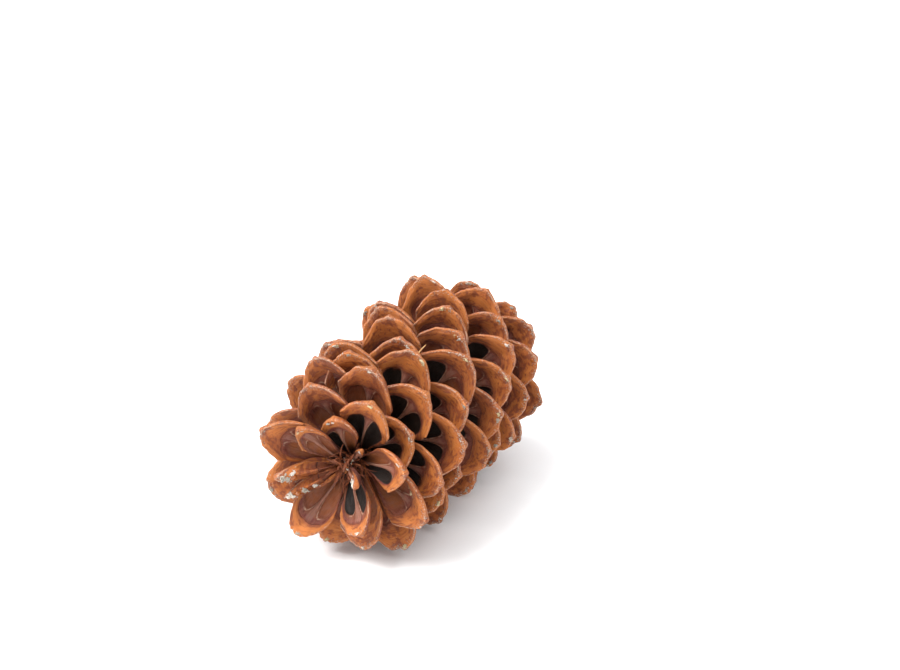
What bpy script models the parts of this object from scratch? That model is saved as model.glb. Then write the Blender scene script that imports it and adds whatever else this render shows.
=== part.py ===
"""An open sugar pine cone lying on its side, with the stub of its stalk.

The cone is one body: a slim woody axis that carries the seed scales in a spiral, a little
under the golden angle from one to the next. Each scale is a spoon-shaped blade, narrow where
it leaves the axis, hollowed twice on its upper face where the two seeds lay, and swollen
underneath towards its tip. It lies on small flat spots worn on its lowest scale tips. The
stalk is a bent twig whose end sits against the foot of the axis.

Metres, +Z up, +X from the stalk towards the cone's tip, with the origin on the surface that
the cone lies on, below the middle of its box.
"""

import math
import random

import bmesh
import bpy
from mathutils import Matrix, Vector

# Woody axis
AXIS_LENGTH = 0.199
AXIS_FOOT_RADIUS = 0.0105
AXIS_TIP_RADIUS = 0.0040
AXIS_SIDES = 8

# Where the scales leave it
FIRST_SCALE_HEIGHT = 0.008
LAST_SCALE_HEIGHT = 0.196
SCALE_COUNT = 108
TURN_EACH = math.radians(-137.1)  # clockwise seen from the tip
CROWDING = 0.28  # how much closer the scales stand at both ends than in the middle

# What a scale measures, by its place along the cone, 0 at the foot and 1 at the tip
LENGTH_BY_PLACE = (
    (0.0, 0.018), (0.08, 0.032), (0.22, 0.052), (0.55, 0.057), (0.85, 0.054), (1.0, 0.042),
)
HALF_WIDTH_BY_PLACE = (
    (0.0, 0.0070), (0.08, 0.0115), (0.22, 0.0160), (0.60, 0.0172), (0.86, 0.0150), (1.0, 0.0070),
)
OPENING_BY_PLACE = (
    (0.0, 118), (0.10, 100), (0.28, 87), (0.60, 80), (0.84, 73), (0.94, 62), (1.0, 46),
)

# One scale
ROOT_WIDTH_SHARE = 0.19  # of the full width
ROOT_SINK = 0.0028  # how far a root reaches into the axis
WIDEST_AT = 0.88  # share of the length
WIDENING = 2.0  # over 1, the scale stays narrow for longer
THICKEST = 0.0058
THINNEST_SHARE = 0.22  # of the thickest, along the side edges
SWELLING_AT = 0.74  # share of the length
SWELLING_REACH = 0.24
BLADE_SHARE = 0.45  # of the swelling, where the blade is plain
LIP_SHARE = 0.45  # of the swelling, left at the very tip
LIP_POWER = 6.0  # the higher, the nearer to the tip the thinning starts
EDGE_THINNING = 0.85  # from the middle line to the side edges
ROOT_BEND = math.radians(-26)  # towards the tip of the cone, against the opening angle
ROOT_BEND_REACH = 0.45
ROOT_BEND_POWER = 2.0
TIP_BEND = math.radians(-24)
TIP_BEND_FROM = 0.60
TIP_BEND_POWER = 1.5
TIP_ROUND = 0.27  # how far the shoulders lie behind the tip, as a share of the length
TIP_SQUARENESS = 2.5  # over 2, the tip is blunter than a parabola
CUP_SHARE = 0.36  # rise of the side edges, as a share of the half width
HOLLOW_DEPTH = 0.0012  # of each of the two seed beds
HOLLOW_AT = 0.45
HOLLOW_REACH = 0.22
ROWS = (0.0, 0.38, 0.74, 1.0)
FOOT_ROWS = (0.0, 0.6, 1.0)  # on the small scales at the foot
FOOT_SCALES = 32
COLUMNS = (-1.0, -0.5, 0.0, 0.5, 1.0)
LINE_STEPS = 40

# How much one scale differs from the next
SEED = 12
LENGTH_SPREAD = 0.05
WIDTH_SPREAD = 0.07
OPENING_SPREAD = math.radians(3.5)
TURN_SPREAD = math.radians(2.5)
TWIST_SPREAD = math.radians(8)

# How far the spiral strays from an even one, in degrees by its place along the cone
DRIFT_BY_PLACE = ((0.0, 0), (0.17, -11), (0.38, -11), (0.48, -3), (0.60, 0))

# The few scales that grew out of line, as the photo shows them: turn and opening in degrees,
# and length as a share
OUT_OF_LINE = {
    52: (12, 0, 0.9),
    73: (10, -5, 0.95),
    75: (5, 10, 1.0),
    81: (12, 0, 0.9),
    85: (-15, 5, 1.0),
    91: (0, -5, 0.8),
    98: (0, -10, 1.1),
    100: (0, 5, 1.1),
    101: (-5, -5, 0.8),
    102: (-15, -10, 1.0),
    103: (0, -10, 0.9),
    104: (0, 5, 0.5),
    105: (-60, 5, 0.9),
    106: (-10, 5, 0.9),
    107: (10, -15, 0.7),
}

# How it lies
ROLL = math.radians(-2.9)  # about its own axis
DIP = math.radians(1.7)  # how far its tip points down
FLAT_DEPTH = 0.0009  # worn off the lowest scale tips
FLOOR_CUTTER = 0.6

# Stalk
STALK_LENGTH = 0.030
STALK_RADIUS = 0.0046
STALK_END_RADIUS = 0.0052
STALK_BEND = 0.006
STALK_GAP = 0.0003
STALK_POINTS = 9

CONE_COLOUR = (0.42, 0.17, 0.06, 1.0)
CONE_ROUGHNESS = 0.55
STALK_COLOUR = (0.28, 0.19, 0.13, 1.0)
STALK_ROUGHNESS = 0.8


def between(points, place):
    """The smooth value at a place among (place, value) points."""
    if place <= points[0][0]:
        return points[0][1]
    for (start, low), (end, high) in zip(points, points[1:]):
        if place <= end:
            share = (place - start) / (end - start)
            share = share * share * (3 - 2 * share) * 0.5 + share * 0.5
            return low + (high - low) * share
    return points[-1][1]


def matte(name, colour, roughness):
    material = bpy.data.materials.new(name)
    material.use_nodes = True
    shader = material.node_tree.nodes["Principled BSDF"]
    shader.inputs["Base Color"].default_value = colour
    shader.inputs["Roughness"].default_value = roughness
    return material


def scale_specs():
    """Where each scale stands and what it measures, from the foot to the tip."""
    draw = random.Random(SEED)
    specs = []
    for number in range(SCALE_COUNT):
        place = number / (SCALE_COUNT - 1)
        climb = place - CROWDING * math.sin(2 * math.pi * place) / (2 * math.pi)
        height = FIRST_SCALE_HEIGHT + (LAST_SCALE_HEIGHT - FIRST_SCALE_HEIGHT) * climb
        length = between(LENGTH_BY_PLACE, place)
        half_width = between(HALF_WIDTH_BY_PLACE, place)
        opening = math.radians(between(OPENING_BY_PLACE, place))
        turn = number * TURN_EACH + math.radians(between(DRIFT_BY_PLACE, place))
        specs.append({
            "number": number,
            "height": height,
            "turn": turn + draw.uniform(-TURN_SPREAD, TURN_SPREAD),
            "length": length * draw.uniform(1 - LENGTH_SPREAD, 1 + LENGTH_SPREAD),
            "half_width": half_width * draw.uniform(1 - WIDTH_SPREAD, 1 + WIDTH_SPREAD),
            "opening": opening + draw.uniform(-OPENING_SPREAD, OPENING_SPREAD),
            "twist": draw.uniform(-TWIST_SPREAD, TWIST_SPREAD),
        })
    for number, (turn, opening, length) in OUT_OF_LINE.items():
        specs[number]["turn"] += math.radians(turn)
        specs[number]["opening"] += math.radians(opening)
        specs[number]["length"] *= length
    return specs


def axis_radius(height):
    share = min(max(height / AXIS_LENGTH, 0.0), 1.0)
    return AXIS_FOOT_RADIUS + (AXIS_TIP_RADIUS - AXIS_FOOT_RADIUS) * share


def bend_at(along):
    """How the middle line of a scale turns away from its opening angle."""
    root = ROOT_BEND * max(0.0, 1 - along / ROOT_BEND_REACH) ** ROOT_BEND_POWER
    past = max(0.0, (along - TIP_BEND_FROM) / (1 - TIP_BEND_FROM))
    return root + TIP_BEND * past ** TIP_BEND_POWER


def middle_line(spec):
    """Points and headings of a scale's middle line, in its own plane: out from the axis, and up it."""
    out = axis_radius(spec["height"]) - ROOT_SINK
    up = spec["height"]
    line = []
    for step in range(LINE_STEPS + 1):
        heading = spec["opening"] + bend_at(step / LINE_STEPS)
        line.append((out, up, heading))
        out += math.sin(heading) * spec["length"] / LINE_STEPS
        up += math.cos(heading) * spec["length"] / LINE_STEPS
    return line


def on_line(line, along):
    spot = min(max(along, 0.0), 1.0) * (len(line) - 1)
    low = min(int(spot), len(line) - 2)
    share = spot - low
    return [a + (b - a) * share for a, b in zip(line[low], line[low + 1])]


def half_width_at(spec, along):
    """Narrow at the root, then swelling to full width near the shoulders."""
    swell = math.sin(min(along / WIDEST_AT, 1.0) * math.pi / 2) ** WIDENING
    return spec["half_width"] * (ROOT_WIDTH_SHARE + (1 - ROOT_WIDTH_SHARE) * swell)


def hump(along, centre, reach):
    return math.exp(-((along - centre) / reach) ** 2)


def scale_point(spec, line, along, across):
    """A point of a scale's upper face, in the cone's own frame."""
    behind = TIP_ROUND * along ** 2 * abs(across) ** TIP_SQUARENESS
    out, up, heading = on_line(line, along - behind)
    wide = half_width_at(spec, along)
    rise = CUP_SHARE * wide * across ** 2 * (1 + along) / 2
    rise -= HOLLOW_DEPTH * hump(along, HOLLOW_AT, HOLLOW_REACH) * math.sin(math.pi * abs(across)) ** 2
    twist = spec["twist"] * along
    side = across * wide * math.cos(twist) - rise * math.sin(twist)
    lift = across * wide * math.sin(twist) + rise * math.cos(twist)
    out -= math.cos(heading) * lift
    up += math.sin(heading) * lift
    return Matrix.Rotation(spec["turn"], 3, "Z") @ Vector((out, side, up))


def thickness_weight(along, across):
    """1 at the swelling under the scale's outer third, less at its tip and along its side edges."""
    swelling = BLADE_SHARE + (1 - BLADE_SHARE) * hump(along, SWELLING_AT, SWELLING_REACH)
    lip = 1 - (1 - LIP_SHARE) * along ** LIP_POWER
    return swelling * lip * (1 - EDGE_THINNING * across ** 2)


def make_scale(spec, name, collection):
    """A grid shaped by the scale's formula, and made solid on its under side."""
    rows = FOOT_ROWS if spec["number"] < FOOT_SCALES else ROWS
    shape = bmesh.new()
    bmesh.ops.create_grid(shape, x_segments=len(COLUMNS) - 1, y_segments=len(rows) - 1, size=1)
    line = middle_line(spec)
    weights = []
    for vertex in shape.verts:
        across = COLUMNS[round((vertex.co.x + 1) / 2 * (len(COLUMNS) - 1))]
        along = rows[round((vertex.co.y + 1) / 2 * (len(rows) - 1))]
        vertex.co = scale_point(spec, line, along, across)
        weights.append(thickness_weight(along, across))
    shape.normal_update()
    shape.faces.ensure_lookup_table()
    middle = shape.faces[len(shape.faces) // 2]
    upper_side = Vector((-math.cos(spec["opening"]), 0, math.sin(spec["opening"])))
    upper_side.rotate(Matrix.Rotation(spec["turn"], 3, "Z"))
    if middle.normal.dot(upper_side) < 0:
        bmesh.ops.reverse_faces(shape, faces=shape.faces[:])
    mesh = bpy.data.meshes.new(name)
    shape.to_mesh(mesh)
    shape.free()
    scale = bpy.data.objects.new(name, mesh)
    collection.objects.link(scale)
    group = scale.vertex_groups.new(name="thickness")
    for index, weight in enumerate(weights):
        group.add([index], weight, "REPLACE")
    solid = scale.modifiers.new("solid", "SOLIDIFY")
    solid.thickness = THICKEST
    solid.offset = -1
    solid.vertex_group = group.name
    solid.thickness_vertex_group = THINNEST_SHARE
    return scale


def make_axis(collection):
    """The woody axis, turned from its profile."""
    profile = [(0.0, 0.0, AXIS_LENGTH), (AXIS_TIP_RADIUS, 0.0, AXIS_LENGTH)]
    profile += [(AXIS_FOOT_RADIUS, 0.0, 0.0), (0.0, 0.0, 0.0)]
    edges = [(start, start + 1) for start in range(len(profile) - 1)]
    mesh = bpy.data.meshes.new("cone")
    mesh.from_pydata(profile, edges, [])
    axis = bpy.data.objects.new("cone", mesh)
    collection.objects.link(axis)
    turned = axis.modifiers.new("turned", "SCREW")
    turned.steps = AXIS_SIDES
    turned.render_steps = AXIS_SIDES
    turned.use_merge_vertices = True
    turned.merge_threshold = 0.00001
    return axis


def apply_modifiers(target):
    """Keeps what the modifiers made, and removes them."""
    graph = bpy.context.evaluated_depsgraph_get()
    mesh = bpy.data.meshes.new_from_object(target.evaluated_get(graph))
    target.modifiers.clear()
    old = target.data
    target.data = mesh
    bpy.data.meshes.remove(old)
    mesh.name = target.name


def join_scales(axis, scales):
    joined = axis.modifiers.new("scales", "BOOLEAN")
    joined.operation = "UNION"
    joined.operand_type = "COLLECTION"
    joined.collection = scales
    joined.solver = "EXACT"
    bpy.context.view_layer.update()
    apply_modifiers(axis)
    for scale in scales.objects[:]:
        bpy.data.objects.remove(scale)
    bpy.data.collections.remove(scales)


def make_stalk(collection):
    """A bent twig that leaves the foot of the axis, a little thicker at its broken end."""
    curve = bpy.data.curves.new("stalk", "CURVE")
    curve.dimensions = "3D"
    curve.bevel_depth = 1.0
    curve.bevel_resolution = 2
    curve.use_fill_caps = True
    spline = curve.splines.new("POLY")
    spline.points.add(STALK_POINTS - 1)
    for index, point in enumerate(spline.points):
        share = index / (STALK_POINTS - 1)
        point.co = (STALK_BEND * share ** 2, 0, -STALK_GAP - STALK_LENGTH * share, 1)
        point.radius = STALK_RADIUS + (STALK_END_RADIUS - STALK_RADIUS) * abs(2 * share - 1) ** 2
    stalk = bpy.data.objects.new("stalk", curve)
    collection.objects.link(stalk)
    return stalk


def box_of(targets, matrix):
    """The low and high corners of the evaluated meshes once they are moved by a matrix."""
    graph = bpy.context.evaluated_depsgraph_get()
    points = []
    for target in targets:
        evaluated = target.evaluated_get(graph)
        points += [matrix @ vertex.co for vertex in evaluated.to_mesh().vertices]
        evaluated.to_mesh_clear()
    low = Vector([min(point[i] for point in points) for i in range(3)])
    high = Vector([max(point[i] for point in points) for i in range(3)])
    return low, high


def lay_down(cone, stalk):
    """Turns the upright cone onto its side, sinks it by the worn depth and centres it."""
    lay = Matrix.Rotation(math.pi / 2 + DIP, 4, "Y") @ Matrix.Rotation(ROLL, 4, "Z")
    low, high = box_of((cone, stalk), lay)
    middle = (low + high) / 2
    shift = Matrix.Translation((-middle.x, -middle.y, -low.z - FLAT_DEPTH))
    cone.matrix_world = shift @ lay
    stalk.matrix_world = shift @ lay


def wear_flat(cone, cutters):
    """Cuts the lowest scale tips off level with the surface."""
    bpy.ops.mesh.primitive_cube_add(size=FLOOR_CUTTER, location=(0, 0, -FLOOR_CUTTER / 2))
    floor = bpy.context.object
    floor.name = "floor_cutter"
    floor.hide_render = True
    floor.display_type = "WIRE"
    for home in floor.users_collection:
        home.objects.unlink(floor)
    cutters.objects.link(floor)
    worn = cone.modifiers.new("worn", "BOOLEAN")
    worn.operation = "DIFFERENCE"
    worn.object = floor
    worn.solver = "EXACT"


def main():
    for leftover in list(bpy.data.objects):
        bpy.data.objects.remove(leftover)
    home = bpy.context.scene.collection
    parts = bpy.data.collections.new("sugar_pine_cone")
    scales = bpy.data.collections.new("scales")
    cutters = bpy.data.collections.new("cutters")
    for collection in (parts, scales, cutters):
        home.children.link(collection)
    cone = make_axis(parts)
    for number, spec in enumerate(scale_specs()):
        make_scale(spec, "scale_%02d" % number, scales)
    join_scales(cone, scales)
    stalk = make_stalk(parts)
    lay_down(cone, stalk)
    wear_flat(cone, cutters)
    cone.data.materials.clear()
    cone.data.materials.append(matte("cone_scales", CONE_COLOUR, CONE_ROUGHNESS))
    stalk.data.materials.append(matte("stalk_bark", STALK_COLOUR, STALK_ROUGHNESS))


main()
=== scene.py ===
"""The looks of an open sugar pine cone, laid out as an add-on and run as a script.

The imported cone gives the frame: its axis, and a scale for each step of a spiral. Each scale is
made again here in the same place with a fine surface: a rolled lip, two seed beds with the ridge
between them, and a swollen under side. Bract bits, dried resin, a dry needle and the bark of the
stalk are added. Metres, +Z up, +X from the stalk towards the cone's tip.
"""

import math
import random

import bmesh
import bpy
import numpy as np
from bpy.props import (
    FloatProperty, FloatVectorProperty, IntProperty, PointerProperty, StringProperty,
)
from mathutils import Matrix, Quaternion, Vector, noise


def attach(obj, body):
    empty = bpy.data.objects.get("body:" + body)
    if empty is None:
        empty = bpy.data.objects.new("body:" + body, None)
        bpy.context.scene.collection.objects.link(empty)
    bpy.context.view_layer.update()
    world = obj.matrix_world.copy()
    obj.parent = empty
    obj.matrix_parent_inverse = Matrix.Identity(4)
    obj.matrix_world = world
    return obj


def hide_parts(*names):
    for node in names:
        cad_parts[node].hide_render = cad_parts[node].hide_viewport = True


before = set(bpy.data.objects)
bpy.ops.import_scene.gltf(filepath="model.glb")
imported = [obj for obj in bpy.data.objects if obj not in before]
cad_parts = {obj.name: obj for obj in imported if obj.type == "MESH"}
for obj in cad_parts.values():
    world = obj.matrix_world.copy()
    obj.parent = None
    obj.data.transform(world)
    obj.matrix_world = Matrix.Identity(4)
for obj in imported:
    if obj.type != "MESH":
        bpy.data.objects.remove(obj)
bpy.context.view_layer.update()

bl_info = {
    "name": "Sugar Pine Cone",
    "version": (1, 0, 0),
    "blender": (4, 5, 0),
    "location": "View3D > Sidebar > Cone",
    "description": "Makes the scales, resin and stalk of an open sugar pine cone",
    "category": "Add Mesh",
}

MM = 0.001

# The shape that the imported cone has, in metres and degrees
AXIS_LENGTH = 0.199
AXIS_FOOT_RADIUS = 0.0105
AXIS_TIP_RADIUS = 0.0040
FIRST_SCALE_HEIGHT = 0.008
LAST_SCALE_HEIGHT = 0.196
SCALE_COUNT = 108
TURN_EACH = math.radians(-137.1)
CROWDING = 0.28
LENGTH_BY_PLACE = (
    (0.0, 0.018), (0.08, 0.032), (0.22, 0.052), (0.55, 0.057), (0.85, 0.054), (1.0, 0.042),
)
HALF_WIDTH_BY_PLACE = (
    (0.0, 0.0070), (0.08, 0.0115), (0.22, 0.0160), (0.60, 0.0172), (0.86, 0.0150), (1.0, 0.0070),
)
OPENING_BY_PLACE = (
    (0.0, 118), (0.10, 100), (0.28, 87), (0.60, 80), (0.84, 73), (0.94, 62), (1.0, 46),
)
ROOT_WIDTH_SHARE = 0.19
ROOT_SINK = 0.0028
WIDEST_AT = 0.88
WIDENING = 2.0
THICKEST = 0.0058
THINNEST_SHARE = 0.22
SWELLING_AT = 0.74
SWELLING_REACH = 0.24
BLADE_SHARE = 0.45
LIP_SHARE = 0.45
LIP_FALL = 6
EDGE_THINNING = 0.85
SMALL_THICKNESS = 0.55
GROWN_THICKNESS = 0.45
FULL_THICKNESS_LENGTH = 0.05
ROOT_BEND = math.radians(-26)
ROOT_BEND_REACH = 0.45
TIP_BEND = math.radians(-24)
TIP_BEND_FROM = 0.60
TIP_BEND_POWER = 1.5
TIP_ROUND = 0.27
TIP_SQUARENESS = 2.5
CUP_SHARE = 0.36
HOLLOW_DEPTH = 0.0012
HOLLOW_AT = 0.45
HOLLOW_REACH = 0.22
LINE_STEPS = 40

# How much one scale differs from the next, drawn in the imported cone's order
SEED = 12
LENGTH_SPREAD = 0.05
WIDTH_SPREAD = 0.07
OPENING_SPREAD = math.radians(3.5)
TURN_SPREAD = math.radians(2.5)
TWIST_SPREAD = math.radians(8)

# How far the spiral strays from an even one, in degrees by its place along the cone
DRIFT_BY_PLACE = ((0.0, 0), (0.17, -11), (0.38, -11), (0.48, -3), (0.60, 0))

# The few scales that grew out of line: turn and opening in degrees, and length as a share
OUT_OF_LINE = {
    52: (12, 0, 0.9),
    73: (10, -5, 0.95),
    75: (5, 10, 1.0),
    81: (12, 0, 0.9),
    85: (-15, 5, 1.0),
    91: (0, -5, 0.8),
    98: (0, -10, 1.1),
    100: (0, 5, 1.1),
    101: (-5, -5, 0.8),
    102: (-15, -10, 1.0),
    103: (0, -10, 0.9),
    104: (0, 5, 0.5),
    105: (-60, 5, 0.9),
    106: (-10, 5, 0.9),
    107: (10, -15, 0.7),
}

# How the cone lies
ROLL = math.radians(-2.9)
DIP = math.radians(1.7)
AXIS_FOOT = (-0.095447, -0.000452, 0.059803)
LIES = (
    Matrix.Translation(AXIS_FOOT)
    @ Matrix.Rotation(math.pi / 2 + DIP, 4, "Y")
    @ Matrix.Rotation(ROLL, 4, "Z")
)

# Camera, fitted to the rows of scale tips
CAMERA_AZIMUTH = math.radians(112.5)
CAMERA_ELEVATION = math.radians(22)
CAMERA_TILT = math.radians(2.3)
CAMERA_DISTANCE = 1.0
METRES_A_PIXEL = 0.00056
PICTURE_WIDTH = 900
PICTURE_HEIGHT = 670
SENSOR_WIDTH = 36
SEEN_BEHIND_TIP = 0.075  # of the axis: the place that is seen at the pixel below
SEEN_AT = (402, 414)

# Stunted scales at the very tip: shares of the usual width, thickness, cupping and orange edge
STUNTED = {
    101: (0.90, 1.2, 0.8, 0.5), 103: (0.60, 1.9, -0.9, 1.8), 104: (0.26, 0.6, 0.5, 0.05),
    105: (0.56, 2.0, -0.9, 1.6), 107: (0.50, 0.8, 0.3, 0.1),
}

# Seed beds that are black (1) or bare (0), one and the other side of the ridge, and their scales; the black
# is partly the wing's dark skin and partly painted shade of the sunk bed
BLACK_BEDS = {
    (1, 1): (65, 78, 83, 86, 91, 96, 102),
    (1, 0): (20, 41, 62, 70, 75, 101),
    (0, 1): (49, 52, 57, 99),
    (0, 0): (
        25, 28, 33, 36, 44, 54, 60, 67, 72, 73, 80, 81, 85, 87, 88, 89, 90, 92, 93, 94, 95, 97, 98,
        100, 103, 104, 105, 106, 107,
    ),
}

# How much the looks of one scale differ from the next
CHARACTER_SEED = 1000
EDGE_WIDTHS = (0.85, 1.15)
LEAN = 0.035
WAVE_COUNT = 5
WAVE_PACES = (2.0, 11.0)
WAVE_STARTS = (0, 6.28)
DENT_COUNT = 4
DENT_PACES = (1.0, 5.0)
BARE_CHANCE = 0.6
BED_END_SPREAD = 0.03
NUB_SHARES = (0.2, 1.2)

# Unevenness of a scale's outline, as shares of its length
WOBBLE = 0.008
UNEVEN = 0.019
RIM_STEPS = 8
CHIP_STEPS = 26
CHIP_SHARE = 0.42
NUB = 0.018
NUB_WIDTH = 0.12
EDGE_RIPPLE = 0.035
RIPPLE_PACE = 4
LEAN_FALL = 4  # the powers of the place along the scale that these grow with
UNEVEN_FALL = 6
NUB_FALL = 10

# The marks on a scale's upper face
CRESCENT_BY_PLACE = ((0.0, 0.7), (0.25, 1.0), (0.90, 1.0), (0.95, 0.55), (0.975, 0.30), (1.0, 0.25))
SIDE_PACE = 3.5  # how much narrower the orange edge is along the sides
SIDE_FADE = 11.0
SIDE_FADE_ALONG = (0.85, 0.45)
WIDEST_SCALE = 0.0172
RIM_BLEND = 2.0
RIDGE_WIDTH = 0.45
FAN_WIDTH = 1.8
FAN_ALONG = (0.42, 0.82)
BED_SIDE = 0.91
BED_AT = 0.385
BED_REACH = 0.355
BED_SQUARENESS = 4
NARROWEST_BED = 0.1

# The relief of both faces: widths in metres, places as shares of the scale's length
ROLL_STEPS = 4
TIP_ROLL = 0.030
SIDE_ROLL = 0.075
ROLL_REACH = 2.3  # how far the upper face rounds over at the margin, in half thicknesses
LIP_FULLNESS = 0.8
LIP_FROM_RIM = 3 * MM
BED_SLOPE = (-0.25, 0.35)
RIDGE_SHARPNESS = 0.9 * MM
RIDGE_RISES = (0.05, 0.3)
RIDGE_ENDS = (0.62, 0.80)
DENTS_ALONG = 3
DENTS_ACROSS = 2
DENTS_FROM_RIM = 4 * MM
KEEL_WIDTH = 3.0 * MM
KEEL_AT = 0.86
KEEL_REACH = 0.16
UMBO_WIDTH = 1.6 * MM
UMBO_ALONG = (0.90, 0.985)
UNDER_RISES = (1, 0.2)  # shares of the way round the rim over which the keel and umbo rise
FEWER_POINTS_BELOW = 0.040  # a scale shorter than this gets two thirds of the points
LUCK_SPREAD = 90  # keeps the noise of one scale apart from the next

# The patches of resin that catch the eye: scale, along and across it, size in millimetres, kind
CRUSTS = (
    (25, 0.90, -0.3, 2.5, "amber"),
    (25, 0.90, -0.2, 2.5, "white"),
    (28, 0.95, 0.0, 3.0, "amber"),
    (30, 1.00, -0.4, 2.0, "white"),
    (49, 1.00, 0.0, 2.0, "yellow"),
    (54, 0.95, 0.0, 3.0, "amber"),
    (54, 0.95, -0.1, 3.0, "white"),
    (54, 0.95, 0.1, 2.0, "yellow"),
    (62, 1.00, 0.0, 2.5, "yellow"),
    (62, 1.00, 0.5, 1.0, "white"),
    (67, 0.95, -0.3, 3.0, "white"),
    (75, 1.00, -0.4, 3.0, "yellow"),
    (75, 1.00, 0.0, 1.5, "grey"),
    (81, 1.00, 0.0, 2.5, "yellow"),
    (94, 0.80, 0.5, 4.0, "yellow"),
    (99, 0.95, 0.4, 2.0, "white"),
    (103, 0.90, 0.2, 4.5, "grey"),
    (103, 0.80, -0.2, 3.0, "white"),
    (103, 0.80, 0.3, 3.5, "amber"),
    (105, 0.85, 0.2, 3.0, "amber"),
    (105, 0.95, 0.0, 3.5, "white"),
    (105, 0.60, 0.5, 2.5, "white"),
    (105, 0.75, 0.3, 3.0, "grey"),
    (107, 0.80, -0.5, 4.0, "white"),
    (107, 0.65, -0.4, 3.5, "white"),
    (107, 0.90, -0.3, 3.0, "white"),
)

# Resin that a seeded rule places: lumps round the end of the axis, crumbs in a patch, and dust
RESIN_KINDS = ("white", "yellow", "grey", "amber")
CENTRE_LUMPS = {"white": 12, "amber": 16}
CENTRE_REACH = 0.0052
CENTRE_FALL = 0.4
CENTRE_SIZES = (0.0004, 0.0012)
CENTRE_FLATNESS = 0.8
DROP_FLATNESS = 0.55
FEWEST_CRUMBS = 10
CRUMBS_A_MM = 9
CRUMB_SPREAD = (0.30, 0.36)
CRUMB_SIZES = (0.10, 0.26)
CRUMB_MIDDLE = 1.2
CRUMB_LIFT = 0.00012
CRUMB_FLATNESS = (0.35, 0.8)
CRUMB_TILT = 0.5
FURTHEST_ALONG = 0.999
FURTHEST_ACROSS = 0.97
DUST_SHARE = {"white": 0.35, "yellow": 0.12, "grey": 0.45}
DUST_SIZE = (0.8, 2.4)
DUST_ALONG = 0.985
DUST_SPREAD = 0.12
LUMP_STRETCH = (0.75, 1.3)
LUMP_ROUGHNESS = ((0.35, 1.6), (0.15, 4))
LUMP_OFFSET = 90

# The woody axis, its knobs and its blunt end
AXIS_ROWS = 90
AXIS_COLUMNS = 40
AXIS_ROUGHNESS = 0.0012
AXIS_KNOBS_ROUND = 0.7
AXIS_KNOBS_ALONG = 260
AXIS_END = 0.003
AXIS_END_SHARE = 0.7

# Dry bits round the end of the axis, in metres and radians; every second one is a thread
BRACT_COUNT = 210
STRIP_STEPS = 8
STRIP_NARROWING = 0.7
STRIP_ENDS = 0.6
BRACT_BEHIND = (-0.003, 0.010)
BRACT_FAR_BEHIND = (0.008, 0.030)
BRACT_OUT = (0.001, 0.006)
BRACT_SLOPES = (0.1, 1.5)
BRACT_ROLL = 0.9
THREAD_LENGTHS = (0.005, 0.016)
BRACT_LENGTHS = (0.004, 0.012)
THREAD_WIDTH = 0.00028
BRACT_WIDTHS = (0.0008, 0.0026)
BRACT_THICKNESS = 0.00025
BRACT_CURLS = (-1.3, 1.6)
BRACT_TWIST = 1.2

# Broken end of a needle that lies on a scale: the scale, along and across it, height and run
NEEDLE_AT = (67, 0.95, -0.66)
NEEDLE_LIFT = 0.0012
NEEDLE_RUN = (-0.0045, 0.0041, 0.0069)
NEEDLE_RADIUS = 0.00045
NEEDLE_NARROWING = 0.55
NEEDLE_SIDES = 6
NEEDLE_BOW = 0.0005

# The stub of the stalk, the furrows of its bark and its broken end
STALK_RADIUS = 0.0046
STALK_END_RADIUS = 0.0052
STALK_BEND = 0.006
STALK_TOP = -0.0003
STALK_REACH = 0.029
STALK_ROWS = 70
STALK_COLUMNS = 48
BARK_DEPTH = 0.001
BARK_ROUND = 3.5
BARK_ALONG = 6
FURROW_FINE = 1.6
FURROW_COARSE = 0.5
FURROW_MIDDLE = 0.3
BREAK_DEPTH = 0.0012
BREAK_PACE = 1.3
BREAK_PLACE = (9, 0, 0)
BREAK_FALL = 8

SATIN = 0.26  # how strongly a scale shines

# Where the lights stand from the cone: to the right, above and towards the camera
KEY_FROM = (-0.75, 1.0, 0.22)
FILL_FROM = (0.25, 1.0, 0.80)
SKY_COLOUR = (0.96, 0.98, 1.0, 1.0)

# The pieces that the scales are made in, with the first scale and the one after the last
SCALE_GROUPS = {
    "scales_foot": (0, 26),
    "scales_lower": (26, 47),
    "scales_middle": (47, 68),
    "scales_upper": (68, 88),
    "scales_tip": (88, SCALE_COUNT),
}


def between(points, place):
    """The smooth value at a place among (place, value) points."""
    if place <= points[0][0]:
        return points[0][1]
    for (start, low), (end, high) in zip(points, points[1:]):
        if place <= end:
            share = (place - start) / (end - start)
            share = share * share * (3 - 2 * share) * 0.5 + share * 0.5
            return low + (high - low) * share
    return points[-1][1]


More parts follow.
